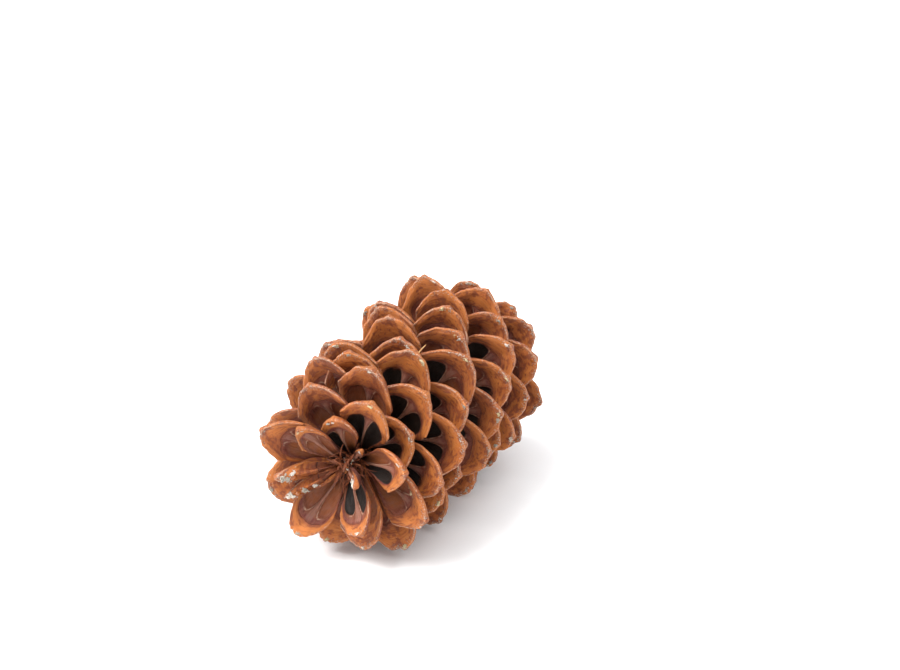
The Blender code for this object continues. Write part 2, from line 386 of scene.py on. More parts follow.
def scale_specs():
    """Where each scale stands and what it measures, from the foot to the tip."""
    draw = random.Random(SEED)
    specs = []
    for number in range(SCALE_COUNT):
        place = number / (SCALE_COUNT - 1)
        climb = place - CROWDING * math.sin(2 * math.pi * place) / (2 * math.pi)
        height = FIRST_SCALE_HEIGHT + (LAST_SCALE_HEIGHT - FIRST_SCALE_HEIGHT) * climb
        length = between(LENGTH_BY_PLACE, place)
        half_width = between(HALF_WIDTH_BY_PLACE, place)
        opening = math.radians(between(OPENING_BY_PLACE, place))
        turn = number * TURN_EACH + math.radians(between(DRIFT_BY_PLACE, place))
        specs.append({
            "number": number,
            "place": place,
            "height": height,
            "turn": turn + draw.uniform(-TURN_SPREAD, TURN_SPREAD),
            "length": length * draw.uniform(1 - LENGTH_SPREAD, 1 + LENGTH_SPREAD),
            "half_width": half_width * draw.uniform(1 - WIDTH_SPREAD, 1 + WIDTH_SPREAD),
            "opening": opening + draw.uniform(-OPENING_SPREAD, OPENING_SPREAD),
            "twist": draw.uniform(-TWIST_SPREAD, TWIST_SPREAD),
        })
    for number, (turn, opening, length) in OUT_OF_LINE.items():
        specs[number]["turn"] += math.radians(turn)
        specs[number]["opening"] += math.radians(opening)
        specs[number]["length"] *= length
    for spec in specs:
        add_character(spec)
    for number, (wide, thick, cup, edge) in STUNTED.items():
        specs[number]["half_width"] *= wide
        specs[number]["thick"] = thick
        specs[number]["cup"] = cup
        specs[number]["crescent"] = edge
    return specs


def add_character(spec):
    """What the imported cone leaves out: how one scale's lip, beds and outline differ from the next."""
    draw = random.Random(SEED + CHARACTER_SEED + spec["number"])
    spec["luck"] = draw.random()
    spec["crescent"] = draw.uniform(*EDGE_WIDTHS) * between(CRESCENT_BY_PLACE, spec["place"])
    spec["lean"] = draw.uniform(-LEAN, LEAN)
    spec["waves"] = [(draw.uniform(*WAVE_PACES), draw.uniform(*WAVE_STARTS)) for _ in range(WAVE_COUNT)]
    spec["dents"] = [
        (draw.uniform(*DENT_PACES), draw.uniform(*WAVE_STARTS), draw.uniform(*DENT_PACES))
        for _ in range(DENT_COUNT)
    ]
    by_chance = (draw.random() > BARE_CHANCE, draw.random() > BARE_CHANCE)
    seen = [sides for sides, numbers in BLACK_BEDS.items() if spec["number"] in numbers]
    spec["bed_shade"] = seen[0] if seen else by_chance
    spec["bed_end"] = [draw.uniform(-BED_END_SPREAD, BED_END_SPREAD) for _ in range(2)]
    spec["point"] = draw.uniform(*NUB_SHARES)
    spec["rim"] = [draw.uniform(-1, 1) for _ in range(RIM_STEPS)]
    spec["chips"] = [draw.uniform(-1, 1) for _ in range(CHIP_STEPS)]


def axis_radius(height):
    """The radius of the axis at a height above its foot."""
    share = min(max(height / AXIS_LENGTH, 0.0), 1.0)
    return AXIS_FOOT_RADIUS + (AXIS_TIP_RADIUS - AXIS_FOOT_RADIUS) * share


def bend_at(along):
    """How the middle line of a scale turns away from its opening angle."""
    root = ROOT_BEND * max(0.0, 1 - along / ROOT_BEND_REACH) ** 2
    tip = TIP_BEND * max(0.0, (along - TIP_BEND_FROM) / (1 - TIP_BEND_FROM)) ** TIP_BEND_POWER
    return root + tip


def middle_line(spec):
    """Columns of distance out from the axis, height and heading along a scale's middle line."""
    out = axis_radius(spec["height"]) - ROOT_SINK
    up = spec["height"]
    line = []
    for step in range(LINE_STEPS + 1):
        heading = spec["opening"] + bend_at(step / LINE_STEPS)
        line.append((out, up, heading))
        out += math.sin(heading) * spec["length"] / LINE_STEPS
        up += math.cos(heading) * spec["length"] / LINE_STEPS
    return np.array(line)


def hump(value, centre, reach):
    """1 at the centre, falling away on both sides."""
    return np.exp(-((value - centre) / reach) ** 2)


def smooth(value, start, end):
    """0 at the start and 1 at the end, without a corner."""
    share = np.clip((value - start) / (end - start), 0, 1)
    return share * share * (3 - 2 * share)


def margin_shift(spec, along, across):
    """How far each point stands behind an even grid, which makes the tip round, chipped and pointed."""
    wobble = sum(np.sin(pace * across * math.pi + start) for pace, start in spec["waves"]) / WAVE_COUNT
    uneven = np.interp(across, np.linspace(-1, 1, RIM_STEPS), spec["rim"])
    uneven += CHIP_SHARE * np.interp(across, np.linspace(-1, 1, CHIP_STEPS), spec["chips"])
    behind = TIP_ROUND * along ** 2 * np.abs(across) ** TIP_SQUARENESS
    behind += spec["lean"] * across * along ** LEAN_FALL
    behind -= (WOBBLE * wobble + UNEVEN * uneven) * along ** UNEVEN_FALL
    behind -= NUB * spec["point"] * hump(across, 0, NUB_WIDTH) * along ** NUB_FALL
    return behind


def blade_width(spec, along, across):
    """Half the width of a scale at each place along it, with a rippled edge."""
    swell = np.sin(np.minimum(along / WIDEST_AT, 1.0) * math.pi / 2) ** WIDENING
    wide = spec["half_width"] * (ROOT_WIDTH_SHARE + (1 - ROOT_WIDTH_SHARE) * swell)
    side = np.sign(across)
    ripple = sum(np.sin(pace * along * RIPPLE_PACE + start + side) for pace, start in spec["waves"])
    return wide * (1 + EDGE_RIPPLE * (ripple / WAVE_COUNT) * np.abs(across) ** 3)


def blade_points(spec, along, across):
    """The scale's upper face in the cone's own frame, for arrays of places along and across it."""
    line = middle_line(spec)
    place = along - margin_shift(spec, along, across)
    wide = blade_width(spec, along, across)
    steps = np.linspace(0, 1, len(line))
    out, up, heading = [np.interp(place, steps, line[:, k]) for k in range(3)]
    beyond = np.maximum(place - 1, 0) * spec["length"]
    rise = CUP_SHARE * spec.get("cup", 1.0) * wide * across ** 2 * (1 + along) / 2
    hollow = HOLLOW_DEPTH * hump(along, HOLLOW_AT, HOLLOW_REACH)
    rise -= hollow * np.sin(math.pi * np.abs(across)) ** 2
    twist = spec["twist"] * along
    side = across * wide * np.cos(twist) - rise * np.sin(twist)
    lift = across * wide * np.sin(twist) + rise * np.cos(twist)
    out = out + np.sin(heading) * beyond - np.cos(heading) * lift
    up = up + np.cos(heading) * beyond + np.sin(heading) * lift
    turned = np.array(Matrix.Rotation(spec["turn"], 3, "Z"))
    return np.stack([out, side, up], axis=-1) @ turned.T, wide


def upper_side(spec):
    """The direction that a scale's upper side looks in, in the cone's own frame."""
    upper = Vector((-math.cos(spec["opening"]), 0, math.sin(spec["opening"])))
    upper.rotate(Matrix.Rotation(spec["turn"], 3, "Z"))
    return upper


def face_normals(points, spec):
    """Unit normals of a grid of points, towards the scale's upper side."""
    normal = np.cross(np.gradient(points, axis=0), np.gradient(points, axis=1))
    length = np.linalg.norm(normal, axis=-1, keepdims=True)
    normal = normal / np.maximum(length, 1e-12)
    middle = normal[normal.shape[0] // 2, normal.shape[1] // 2]
    return normal if np.dot(middle, upper_side(spec)) > 0 else -normal


def rim_distance(spec, along, across, wide):
    """Millimetres from the margin, round the tip and, sooner reached, down both sides."""
    tip = (1 - along) * spec["length"] / MM
    pace = SIDE_PACE * WIDEST_SCALE / spec["half_width"]
    side = (1 - np.abs(across)) * wide / MM * pace + SIDE_FADE * smooth(along, *SIDE_FADE_ALONG)
    return -RIM_BLEND * np.log(np.exp(-tip / RIM_BLEND) + np.exp(-side / RIM_BLEND)) / spec["crescent"]


def scale_fields(spec, along, across, wide):
    """What the finish needs at each point: distance from the rim, seed beds, ridge and beds' shade."""
    rim = rim_distance(spec, along, across, wide)
    end = np.where(across > 0, *spec["bed_end"])
    ridge_width = RIDGE_WIDTH + FAN_WIDTH * smooth(along, *FAN_ALONG)
    inner = ridge_width * MM / wide
    middle = (BED_SIDE + inner) / 2
    reach = np.maximum(BED_SIDE - inner, NARROWEST_BED) / 2
    beside = (np.abs(np.abs(across) - middle) / reach) ** BED_SQUARENESS
    before = (np.abs(along - BED_AT - end) / BED_REACH) ** BED_SQUARENESS
    ridge = np.abs(across * wide) / MM / ridge_width
    return rim, 1 - beside - before, ridge, np.where(across > 0, *spec["bed_shade"])


def scale_grid(rows, columns):
    """Places along and across a scale, closer together where its rim rolls over."""
    easing = 1 - np.sin(np.linspace(0, math.pi / 2, ROLL_STEPS + 1)[1:])
    along = np.concatenate([np.linspace(0, 1 - TIP_ROLL, rows - ROLL_STEPS), 1 - TIP_ROLL * easing])
    flat = np.linspace(0, 1 - SIDE_ROLL, columns // 2 + 1 - ROLL_STEPS)
    half = np.concatenate([flat, 1 - SIDE_ROLL * easing])
    return np.meshgrid(along, np.concatenate([-half[:0:-1], half]), indexing="ij")


def scale_thickness(spec, along, across):
    """How thick a scale is: thin at its root and sides, with a swelling before its tip."""
    swelling = BLADE_SHARE + (1 - BLADE_SHARE) * hump(along, SWELLING_AT, SWELLING_REACH)
    lip = 1 - (1 - LIP_SHARE) * along ** LIP_FALL
    weight = swelling * lip * (1 - EDGE_THINNING * across ** 2)
    thick = THICKEST * (THINNEST_SHARE + (1 - THINNEST_SHARE) * weight)
    grown = SMALL_THICKNESS + GROWN_THICKNESS * spec["length"] / FULL_THICKNESS_LENGTH
    return thick * min(1.0, grown) * spec.get("thick", 1.0)


def margin_distance(spec, along, across, wide):
    """Metres from the nearer of a scale's tip and side."""
    slope = TIP_ROUND * TIP_SQUARENESS * np.abs(across) ** (TIP_SQUARENESS - 1) * spec["length"] / wide
    from_tip = (1 - along) * spec["length"] / np.sqrt(1 + slope ** 2)
    return np.minimum(from_tip, (1 - np.abs(across)) * wide)


def quarter_round(share, radius):
    """The drop of a rounded rim: none where it begins, and its radius at the margin."""
    return radius * (1 - np.sqrt(np.clip(1 - share ** 2, 0, 1)))


def scale_surface(spec, sizes, rows, columns):
    """Points of both faces of one scale, closed round a rolled rim, with the fields for its finish."""
    along, across = scale_grid(rows, columns)
    points, wide = blade_points(spec, along, across)
    normal = face_normals(points, spec)
    thick = scale_thickness(spec, along, across)
    from_rim = margin_distance(spec, along, across, wide)
    radius = thick / 2
    inside = np.clip(1 - from_rim / radius, 0, 1)
    rolled = quarter_round(np.clip(1 - from_rim / (radius * ROLL_REACH), 0, 1), radius)
    rim, bed, ridge, shade = scale_fields(spec, along, across, wide)
    crescent = sizes.crescent_width / MM
    roll = sizes.lip_height * np.sin(math.pi * np.clip(rim / crescent, 0, 1)) ** LIP_FULLNESS
    roll = roll * smooth(from_rim, 0, LIP_FROM_RIM)
    sunk = sizes.bed_depth * smooth(bed, *BED_SLOPE)
    spine = sizes.ridge_height * hump(across * wide, 0, RIDGE_SHARPNESS) * smooth(along, *RIDGE_RISES)
    spine = spine * (1 - smooth(along, *RIDGE_ENDS))
    dents = sum(
        np.sin(a * along * DENTS_ALONG + b) * np.sin(c * across * DENTS_ACROSS + b)
        for a, b, c in spec["dents"]
    )
    lumps = sizes.dent_depth * dents * smooth(from_rim, 0, DENTS_FROM_RIM)
    upper = points + normal * (roll - sunk + spine + lumps - rolled)[..., None]
    keel = sizes.keel_height * hump(across * wide, 0, KEEL_WIDTH) * hump(along, KEEL_AT, KEEL_REACH)
    umbo = sizes.umbo_height * hump(across * wide, 0, UMBO_WIDTH) * smooth(along, *UMBO_ALONG)
    below = thick - quarter_round(inside, radius) - lumps + (keel + umbo) * smooth(inside, *UNDER_RISES)
    lower = points - normal * below[..., None]
    luck = np.full_like(along, spec["luck"])
    fields = {
        "spot": np.stack([across * wide / MM, along * spec["length"] / MM, luck * LUCK_SPREAD], -1),
        "marks": np.stack([rim, bed, ridge], -1),
        "shade": np.stack([shade, along, luck], -1),
    }
    return upper, lower, fields


def join_faces(rows, columns):
    """Quads of a scale's upper grid, its lower grid and the strip that closes its root."""
    index = np.arange(rows * columns).reshape(rows, columns)
    under = index + rows * columns
    for place in (np.s_[-1, :], np.s_[:, 0], np.s_[:, -1]):
        under[place] = index[place]
    top = np.stack([index[:-1, :-1], index[:-1, 1:], index[1:, 1:], index[1:, :-1]], -1).reshape(-1, 4)
    low = np.stack([under[:-1, :-1], under[1:, :-1], under[1:, 1:], under[:-1, 1:]], -1).reshape(-1, 4)
    root = [
        (index[0, k], under[0, k], under[0, k + 1], index[0, k + 1])
        for k in range(1, columns - 2)
    ]
    root.append((index[0, 0], under[0, 1], index[0, 1]))
    root.append((index[0, -2], under[0, -2], index[0, -1]))
    return top.tolist(), low.tolist(), [tuple(int(v) for v in face) for face in root]


def on_floor(points):
    """Moves points of the upright cone to where it lies, with the lowest tips worn flat."""
    lies = np.array(LIES)
    placed = points @ lies[:3, :3].T + lies[:3, 3]
    placed[:, 2] = np.maximum(placed[:, 2], 0.0)
    return placed


def new_object(name, data):
    """An object of that mesh, light or camera, in the scene."""
    made = bpy.data.objects.new(name, data)
    bpy.context.scene.collection.objects.link(made)
    return made


def tidy_mesh(mesh):
    """Removes loose points and makes all faces look outwards."""
    shape = bmesh.new()
    shape.from_mesh(mesh)
    loose = [vertex for vertex in shape.verts if not vertex.link_faces]
    bmesh.ops.delete(shape, geom=loose, context="VERTS")
    bmesh.ops.recalc_face_normals(shape, faces=shape.faces[:])
    shape.to_mesh(mesh)
    shape.free()


def new_piece(name, points, faces):
    """An object with a mesh of those points and faces."""
    mesh = bpy.data.meshes.new(name)
    mesh.from_pydata([tuple(point) for point in points], [], faces)
    tidy_mesh(mesh)
    return new_object(name, mesh)


def finish_piece(made, slot, *replaced):
    """Smooths a piece, lets it ride on the cone and hides the imported parts that it replaces; its slot is
    not used.
    """
    made.data.shade_smooth()
    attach(made, "root")
    if replaced:
        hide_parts(*replaced)


def make_scales(name, first, last, sizes):
    """One piece with the scales from the first to the last, the last left out."""
    points = []
    fields = {"spot": [], "marks": [], "shade": []}
    faces = []
    slots = []
    start = 0
    for spec in scale_specs()[first:last]:
        rows, columns = sizes.rows, sizes.columns
        if spec["length"] < FEWER_POINTS_BELOW:
            rows, columns = rows * 2 // 3, columns * 2 // 3
        upper, lower, made = scale_surface(spec, sizes, rows, columns)
        rows, columns = upper.shape[:2]
        top, low, root = join_faces(rows, columns)
        points += [upper.reshape(-1, 3), lower.reshape(-1, 3)]
        for key, values in made.items():
            flat = values.reshape(-1, 3)
            fields[key] += [flat, flat]
        for group, slot in ((top, 0), (low, 1), (root, 1)):
            faces += [tuple(v + start for v in face) for face in group]
            slots += [slot] * len(group)
        start += 2 * rows * columns
    mesh = bpy.data.meshes.new(name)
    mesh.from_pydata(on_floor(np.concatenate(points)).tolist(), [], faces)
    mesh.polygons.foreach_set("material_index", slots)
    for key, values in fields.items():
        attribute = mesh.attributes.new(key, "FLOAT_VECTOR", "POINT")
        attribute.data.foreach_set("vector", np.concatenate(values).astype(np.float32).ravel())
    tidy_mesh(mesh)
    return new_object(name, mesh)


def opaque(colour):
    """A plain colour with its alpha; a socket stays as it is."""
    return colour if isinstance(colour, bpy.types.NodeSocket) else (*colour, 1.0)


class Finish:
    """A material and short words for the nodes that its colour, gloss and relief are made of."""

    def __init__(self, name):
        self.material = bpy.data.materials.new(name)
        self.material.use_nodes = True
        self.tree = self.material.node_tree
        self.shader = self.tree.nodes["Principled BSDF"]

    def node(self, kind, **settings):
        made = self.tree.nodes.new(kind)
        for key, value in settings.items():
            setattr(made, key, value)
        return made

    def put(self, socket, value):
        """Links a socket or sets a plain number or colour."""
        if isinstance(value, bpy.types.NodeSocket):
            self.tree.links.new(value, socket)
        else:
            socket.default_value = value

    def filled(self, kind, output, values, **settings):
        """The output of a new node, after values are put into its inputs by name or number."""
        made = self.node(kind, **settings)
        for key, value in values.items():
            self.put(made.inputs[key], value)
        return made.outputs[output]

    def field(self, name):
        return self.node("ShaderNodeAttribute", attribute_name=name).outputs["Vector"]

    def own_place(self):
        """The place in the object's own frame, in metres."""
        return self.node("ShaderNodeTexCoord").outputs["Object"]

    def split(self, vector):
        made = self.node("ShaderNodeSeparateXYZ")
        self.put(made.inputs[0], vector)
        return made.outputs[0], made.outputs[1], made.outputs[2]

    def join(self, x, y, z):
        return self.filled("ShaderNodeCombineXYZ", 0, {0: x, 1: y, 2: z})

    def maths(self, operation, first, second=0.0):
        return self.filled("ShaderNodeMath", 0, {0: first, 1: second}, operation=operation)

    def add(self, first, second):
        return self.maths("ADD", first, second)

    def times(self, first, *others):
        """The product of two or more numbers."""
        for other in others:
            first = self.maths("MULTIPLY", first, other)
        return first

    def noise(self, vector, scale=(1, 1, 1), detail=3.0, roughness=0.55):
        stretched = self.filled("ShaderNodeVectorMath", 0, {0: vector, 1: scale}, operation="MULTIPLY")
        return self.filled("ShaderNodeTexNoise", "Fac", {
            "Vector": stretched, "Scale": 1.0, "Detail": detail, "Roughness": roughness})

    def fade(self, value, start, end):
        """0 before the start, 1 after the end."""
        return self.filled("ShaderNodeMapRange", "Result", {
            "Value": value, "From Min": start, "From Max": end}, interpolation_type="SMOOTHSTEP")

    def band(self, value, start, end, soft):
        """1 between the start and the end."""
        rising = self.fade(value, start - soft, start + soft)
        falling = self.fade(value, end + soft, end - soft)
        return self.times(rising, falling)

    def sway(self, value, *noises):
        """A value made uneven by noises, each as much as its amount."""
        for noise_field, amount in noises:
            value = self.add(value, self.times(self.add(noise_field, -0.5), amount))
        return value

    def mix(self, share, first, second):
        """A colour between two."""
        values = {0: share, 6: opaque(first), 7: opaque(second)}
        return self.filled("ShaderNodeMix", 2, values, data_type="RGBA")

    def coats(self, base, *coats):
        """Colours over a base: each one's colour and amount, and the value and range it comes in over."""
        for colour, amount, value, start, end in coats:
            base = self.mix(self.times(self.fade(value, start, end), amount), base, colour)
        return base

    def blend(self, share, first, second):
        """A number between two numbers."""
        return self.filled("ShaderNodeMix", 0, {0: share, 2: first, 3: second}, data_type="FLOAT")

    def relief(self, *layers):
        """Bumps on top of each other, each a height and its depth in metres."""
        normal = None
        for height, depth in layers:
            values = {"Height": height, "Distance": depth}
            if normal is not None:
                values["Normal"] = normal
            normal = self.filled("ShaderNodeBump", "Normal", values)
        return normal

    def show(self, colour, roughness, normal=None):
        self.put(self.shader.inputs["Base Color"], colour)
        self.put(self.shader.inputs["Roughness"], roughness)
        if normal is not None:
            self.put(self.shader.inputs["Normal"], normal)
        return self.material


def resin_dust(made, spot, thickly, *ranges):
    """Where small crumbs of resin lie: by a range of their noise, and by the range of each value."""
    crumbs = made.noise(spot, (1.3, 1.3, 1), 5, 0.7)
    return made.times(made.fade(crumbs, *thickly), *[made.fade(*values) for values in ranges])


def cupped_face(sizes, colours):
    """The upper face: orange edge, crease, mauve band, two seed beds and the pale ridge."""
    made = Finish("cupped_face")
    spot = made.field("spot")
    across, _, luck = made.split(spot)
    rim, bed, ridge = made.split(made.field("marks"))
    shade, place, chance = made.split(made.field("shade"))
    clouds = made.noise(spot, (0.10, 0.10, 1), 3)
    patches = made.noise(spot, (0.38, 0.38, 1), 4)
    grain = made.noise(spot, (2.0, 2.0, 1), 4, 0.65)
    fibres = made.noise(spot, (2.2, 0.15, 1), 3, 0.6)
    round_tip = made.join(made.times(across, 0.12), made.times(rim, 1.1), luck)
    lines = made.noise(round_tip, (1, 1, 1), 4, 0.62)
    edge = made.sway(rim, (patches, 3.0), (clouds, 7.0))
    width = sizes.crescent_width / MM
    crescent = made.fade(edge, width + 2.4, width - 1.8)
    # Painted shade: a dark line in the crease between the orange edge and the mauve band; the same mask
    # also dents the relief.
    crease = made.band(edge, width + 0.1, width + 0.45, 0.35)
    mauve_end = width + sizes.mauve_width / MM

    lip = made.mix(made.fade(clouds, 0.38, 0.62), colours.lip, colours.lip_deep)
    lip = made.coats(
        lip,
        # Partly painted shade: the edge's inner half, where its roll turns away from the light, darkens to
        # pink-tan; partly the edge's own pinker tone.
        (colours.blush, 0.80, edge, width * 0.50, width),
        (colours.mauve, 0.55, edge, width * 0.82, width * 1.15),
        (colours.blush, 0.35, chance, 0.55, 1.0),
        (colours.lip_pale, 0.50, lines, 0.50, 0.68),
        (colours.stain, 0.60, lines, 0.45, 0.30),
        (colours.stain, 0.75, made.add(patches, made.times(clouds, 0.6)), 0.80, 0.92),
        (colours.stain, 0.30, grain, 0.60, 0.76),
    )
    rubbed = made.fade(made.add(grain, made.times(clouds, 0.5)), 0.74, 0.86)
    lip = made.mix(made.times(made.fade(rim, 1.5, 0.0), rubbed, 0.75), lip, colours.scuff)

    purple = made.mix(made.fade(fibres, 0.38, 0.66), colours.mauve, colours.mauve_deep)
    flushed = made.add(clouds, made.times(patches, 0.4))
    purple = made.coats(purple, (colours.blush, 0.6, flushed, 0.62, 0.86))
    inner = made.mix(made.fade(fibres, 0.35, 0.7), colours.blade, colours.blade_dark)
    # Painted shade: darker towards the scale's root, deep among the scales by the axis.
    inner = made.coats(inner, (colours.root, 1.0, place, 0.5, 0.12))
    base = made.mix(made.fade(edge, mauve_end + 2.0, mauve_end - 1.0), inner, purple)

    bare = made.mix(made.fade(bed, 0.15, 0.85), colours.bed_brown, colours.bed_orange)
    bare = made.coats(
        bare,
        (colours.bed_brown, 0.35, fibres, 0.45, 0.75),
        (colours.blush, 0.45, clouds, 0.40, 0.60),
        # Painted shade: darker towards the scale's root, deep among the scales by the axis.
        (colours.root, 1.0, place, 0.42, 0.15),
    )
    # Black beds: partly the wing's dark skin, partly painted shade of the sunk hollow.
    black = made.mix(made.fade(fibres, 0.5, 0.8), colours.bed_dark, colours.bed_streak)
    uneven_bed = made.sway(bed, (patches, 0.35))
    is_black = made.fade(shade, 0.4, 0.6)
    soft_bed = made.times(made.fade(uneven_bed, -0.15, 0.65), 0.70)
    bed_mask = made.blend(is_black, soft_bed, made.fade(uneven_bed, 0.0, 0.12))
    base = made.mix(bed_mask, base, made.mix(is_black, bare, black))

    not_black = made.maths("SUBTRACT", 1.0, made.times(bed_mask, is_black))
    pink = made.times(made.fade(patches, 0.40, 0.66), made.fade(place, 0.30, 0.55), not_black)
    base = made.mix(made.times(pink, 0.45), base, colours.bloom)
    frayed = made.sway(ridge, (fibres, 0.9))
    fan = made.times(made.fade(frayed, 1.05, 0.55), made.fade(place, 0.10, 0.35))
    fan = made.times(fan, made.fade(edge, width + 0.2, width + 4.5))
    base = made.mix(made.times(fan, 0.36), base, colours.membrane)
    seam = made.times(made.band(bed, -0.30, -0.05, 0.08), made.fade(ridge, 3.6, 1.4))
    seam = made.times(seam, made.fade(fibres, 0.35, 0.6), made.fade(place, 0.25, 0.5))
    base = made.mix(made.times(seam, 0.70), base, colours.scuff)
    face = made.mix(crescent, base, lip)
    # Painted shade in the crease, in patches.
    face = made.mix(made.times(crease, made.fade(patches, 0.35, 0.55)), face, colours.crease)

    beside = made.maths("ABSOLUTE", across)
    crust = resin_dust(made, spot, (0.54, 0.61), (rim, 3.4, 0.0), (beside, 13.0, 1.5), (chance, 0.05, 0.30))
    face = made.mix(made.times(crust, 0.85), face, colours.resin)
    gloss = made.sway(made.blend(crescent, 0.44, 0.46), (grain, 0.30))
    made.shader.inputs["Specular IOR Level"].default_value = SATIN
    raised = made.maths("SUBTRACT", crust, crease)
    streaks = made.blend(crescent, fibres, lines)
    return made.show(face, gloss, made.relief((streaks, 0.0008), (grain, 0.0004), (raised, 0.0005)))


def under_side(sizes, colours):
    """The under face: a tan swelling with striations from its tip, then dark with a grey bloom."""
    made = Finish("under_side")
    spot = made.field("spot")
    beside = made.maths("ABSOLUTE", made.split(spot)[0])
    rim = made.split(made.field("marks"))[0]
    _, place, chance = made.split(made.field("shade"))
    clouds = made.noise(spot, (0.09, 0.09, 1), 3)
    patches = made.noise(spot, (0.34, 0.24, 1), 4)
    grain = made.noise(spot, (2.0, 1.6, 1), 4, 0.65)
    fibres = made.noise(spot, (1.5, 0.10, 1), 4, 0.6)
    threads = made.noise(spot, (4.5, 0.22, 1), 3, 0.6)
    width = sizes.under_width / MM
    sideways = made.times(made.maths("POWER", beside, 2.0), 0.05)
    edge = made.add(made.sway(rim, (patches, 6.0), (clouds, 9.0)), sideways)
    swelling = made.fade(edge, width + 2.5, width - 2.0)
    # Painted shade: a dark line in the crease behind the tan swelling; the same mask also dents the relief.
    crease = made.band(edge, width + 0.5, width + 1.3, 0.6)

    tan = made.mix(made.fade(clouds, 0.36, 0.62), colours.under, colours.lip_deep)
    tan = made.coats(
        tan,
        (colours.blush, 0.65, edge, width * 0.35, width),
        (colours.stain, 0.60, fibres, 0.48, 0.68),
        (colours.lip_pale, 0.35, threads, 0.50, 0.70),
        (colours.mauve, 0.70, made.add(patches, made.times(clouds, 0.6)), 0.80, 0.95),
        (colours.stain, 0.35, grain, 0.60, 0.76),
    )
    rubbed = made.fade(made.add(grain, made.times(clouds, 0.5)), 0.79, 0.92)
    tan = made.mix(made.times(made.fade(rim, 1.2, 0.0), rubbed, 0.6), tan, colours.scuff)

    dark = made.mix(made.fade(fibres, 0.32, 0.66), colours.under_dark, colours.mauve_deep)
    # Painted shade: darker towards the scale's root, deep among the scales by the axis.
    dark = made.coats(
        dark, (colours.bloom, 0.55, patches, 0.42, 0.66), (colours.root, 1.0, place, 0.45, 0.10))
    face = made.mix(swelling, dark, tan)
    # Painted shade in the crease.
    face = made.mix(made.times(crease, 0.5), face, colours.crease)

    crust = resin_dust(made, spot, (0.58, 0.65), (rim, 4.0, 0.2), (beside, 9.0, 1.0), (chance, 0.2, 0.4))
    face = made.mix(made.times(crust, 0.85), face, colours.resin)
    gloss = made.sway(made.blend(swelling, 0.58, 0.50), (grain, 0.30))
    made.shader.inputs["Specular IOR Level"].default_value = SATIN
    raised = made.maths("SUBTRACT", crust, crease)
    return made.show(face, gloss, made.relief((fibres, 0.0011), (grain, 0.0005), (raised, 0.0005)))


def scale_finishes(sizes, colours):
    """Both faces' materials, made once and used by every group of scales."""
    upper = bpy.data.materials.get("cupped_face") or cupped_face(sizes, colours)
    lower = bpy.data.materials.get("under_side") or under_side(sizes, colours)
    return upper, lower


def ring_faces(rows, columns):
    """Quads of a tube of rings, with a cap at each end."""
    faces = []
    for row in range(rows):
        for column in range(columns):
            beside = (column + 1) % columns
            low, high = row * columns, (row + 1) * columns
            faces.append((low + column, low + beside, high + beside, high + column))
    faces.append(tuple(range(columns - 1, -1, -1)))
    faces.append(tuple(range(rows * columns, (rows + 1) * columns)))
    return faces


def make_axis():
    """The woody axis, knobbly where the scales leave it, with a blunt end."""
    points = []
    for row in range(AXIS_ROWS + 1):
        height = AXIS_LENGTH * row / AXIS_ROWS
        end = max(0.0, (height - AXIS_LENGTH + AXIS_END) / AXIS_END)
        for column in range(AXIS_COLUMNS):
            turn = 2 * math.pi * column / AXIS_COLUMNS
            round_axis = Vector((math.cos(turn), math.sin(turn), 0)) * AXIS_KNOBS_ROUND
            knob = noise.noise(round_axis + Vector((0, 0, height * AXIS_KNOBS_ALONG)))
            radius = axis_radius(height) + AXIS_ROUGHNESS * knob
            radius -= AXIS_TIP_RADIUS * AXIS_END_SHARE * end ** 2
            points.append((math.cos(turn) * radius, math.sin(turn) * radius, height))
    return new_piece("axis", on_floor(np.array(points)), ring_faces(AXIS_ROWS, AXIS_COLUMNS))


def bract_finish(name, colours, dark):
    """Dry brown skin with streaks, darkened on the axis by a share of painted shade, since it lies deep
    among the scales.
    """
    made = Finish(name)
    spot = made.own_place()
    streaks = made.noise(spot, (900, 2500, 2500), 3)
    patches = made.noise(spot, (260, 260, 260), 4)
    colour = made.mix(made.fade(patches, 0.35, 0.65), colours.bract, colours.blade)
    colour = made.coats(
        colour, (colours.bed_brown, 0.6, streaks, 0.5, 0.8), (colours.lip, 0.4, patches, 0.58, 0.7))
    # Painted shade: a share of the near-black root colour for the depths among the scales.
    colour = made.mix(dark, colour, colours.root)
    return made.show(colour, made.blend(streaks, 0.45, 0.8), made.relief((streaks, 0.0004)))


def scale_spot(spec, along, across, lift):
    """A place above a scale's upper face where the cone lies, and the direction away from the face."""
    step = 0.01
    grid_along = np.array([[along - step, along - step], [along, along]])
    grid_across = np.array([[across - step, across], [across - step, across]])
    points, _ = blade_points(spec, grid_along, grid_across)
    normal = np.cross(points[1, 1] - points[0, 1], points[1, 1] - points[1, 0])
    normal = Vector(normal).normalized()
    if normal.dot(upper_side(spec)) < 0:
        normal = -normal
    at = LIES @ (Vector(points[1, 1]) + normal * lift)
    return at, LIES.to_3x3() @ normal


def add_lump(shape, at, normal, size, flatness, draw, detail):
    """An uneven blob pressed onto a face."""
    turned = normal.to_track_quat("Z", "Y").to_matrix().to_4x4()
    made = bmesh.ops.create_icosphere(shape, subdivisions=detail, radius=1.0)
    offset = Vector([draw.uniform(0, LUMP_OFFSET) for _ in range(3)])
    stretch = draw.uniform(*LUMP_STRETCH)
    for vertex in made["verts"]:
        rough = 1 + sum(depth * noise.noise(vertex.co * pace + offset) for depth, pace in LUMP_ROUGHNESS)
        point = vertex.co * rough * size
        point.x *= stretch
        point.y /= stretch
        point.z *= flatness
        vertex.co = Matrix.Translation(at) @ turned @ point


